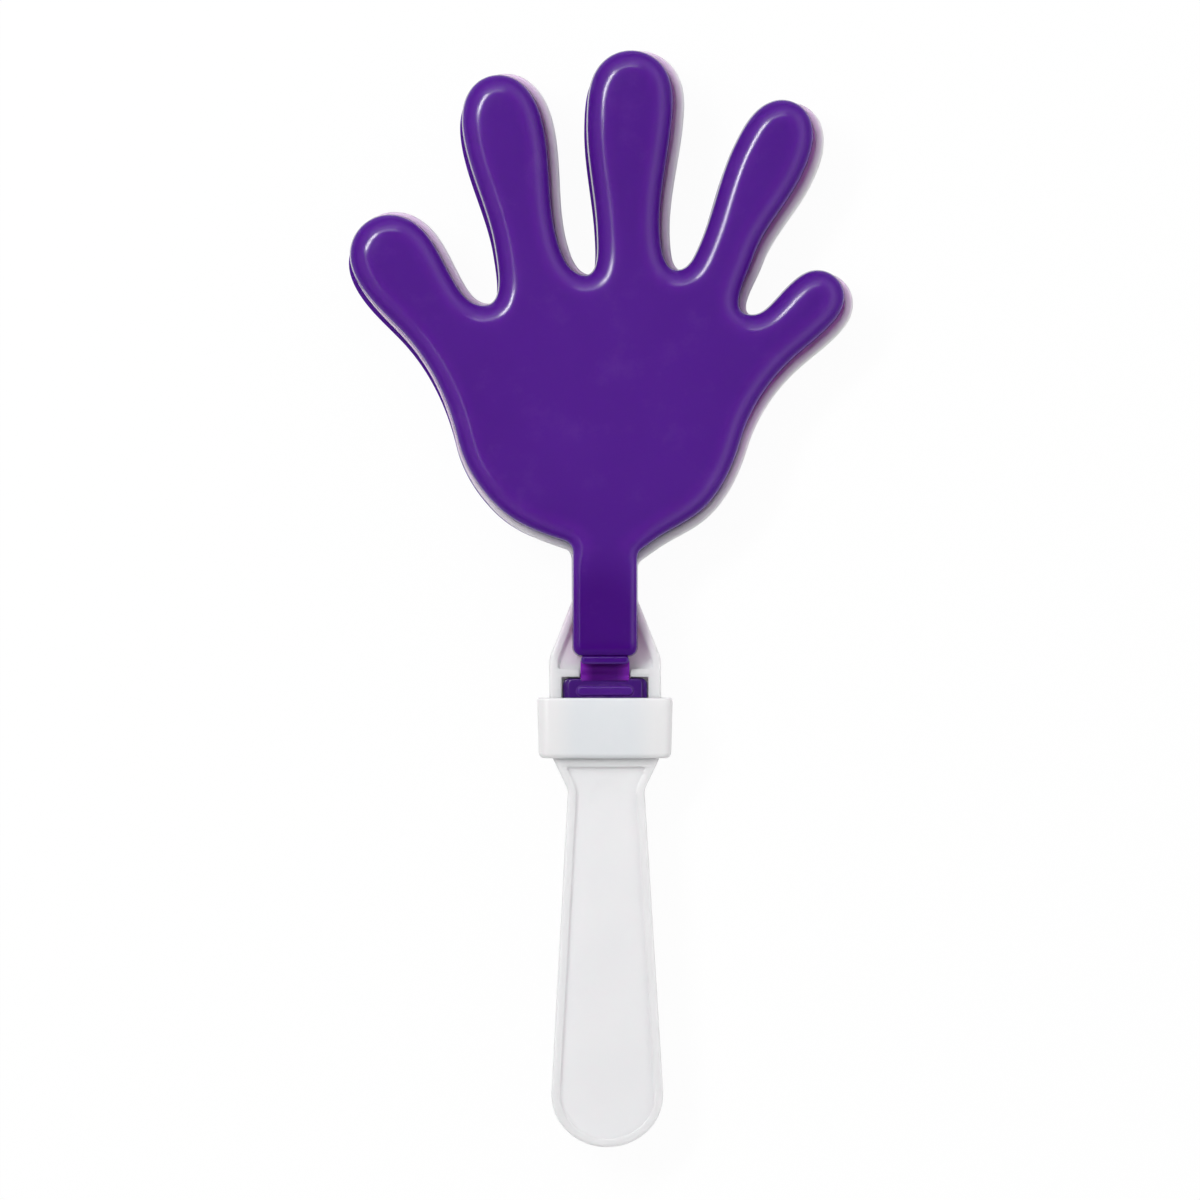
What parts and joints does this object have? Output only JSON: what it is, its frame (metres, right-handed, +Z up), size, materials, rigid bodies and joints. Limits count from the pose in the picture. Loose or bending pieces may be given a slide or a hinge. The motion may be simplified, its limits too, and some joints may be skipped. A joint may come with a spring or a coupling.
{
  "type": "hand clapper",
  "caption": "Party hand clapper: a white handle that ends in a flat hand, with a hollow purple hand hung on each face by a thin strap and locked in place by a sliding collar.",
  "frame": {"origin": "bottom centre of the bounding box, on the surface that the clapper lies on, under the heel of the palm", "axes": "+Y runs from the handle to the fingertips, +Z points up out of the front palm, and +X points to the little finger's side"},
  "size_m": [0.1292, 0.28, 0.0276],
  "materials": {
    "white_plastic": "satin moulded plastic with a fine even grain",
    "purple_plastic": "smooth glossy moulded plastic with soft highlights"
  },
  "bodies": {
    "handle": {"handle_and_centre_hand": "white_plastic", "front_anchor_tab": "purple_plastic", "rear_anchor_tab": "purple_plastic", "front_hinge_strap": "purple_plastic", "rear_hinge_strap": "purple_plastic"},
    "collar": {"locking_collar": "white_plastic"},
    "front_hand": {"front_hand": "purple_plastic"},
    "rear_hand": {"rear_hand": "purple_plastic"}
  },
  "joints": [
    {"name": "front_hand_swing", "type": "hinge", "parent": "handle", "child": "front_hand", "pos_m": [0.00108, -0.01815, 0.0187], "axis": [1, 0, 0], "range_deg": [0, 90], "deforming": ["front_hinge_strap"]},
    {"name": "rear_hand_swing", "type": "hinge", "parent": "handle", "child": "rear_hand", "pos_m": [0.00108, -0.0197, 0.0089], "axis": [1, 0, 0], "range_deg": [-90, 0], "deforming": ["rear_hinge_strap"]},
    {"name": "collar_slide", "type": "slide", "parent": "handle", "child": "collar", "axis": [0.0063, -1, 0], "range_m": [0, 0.095]}
  ]
}
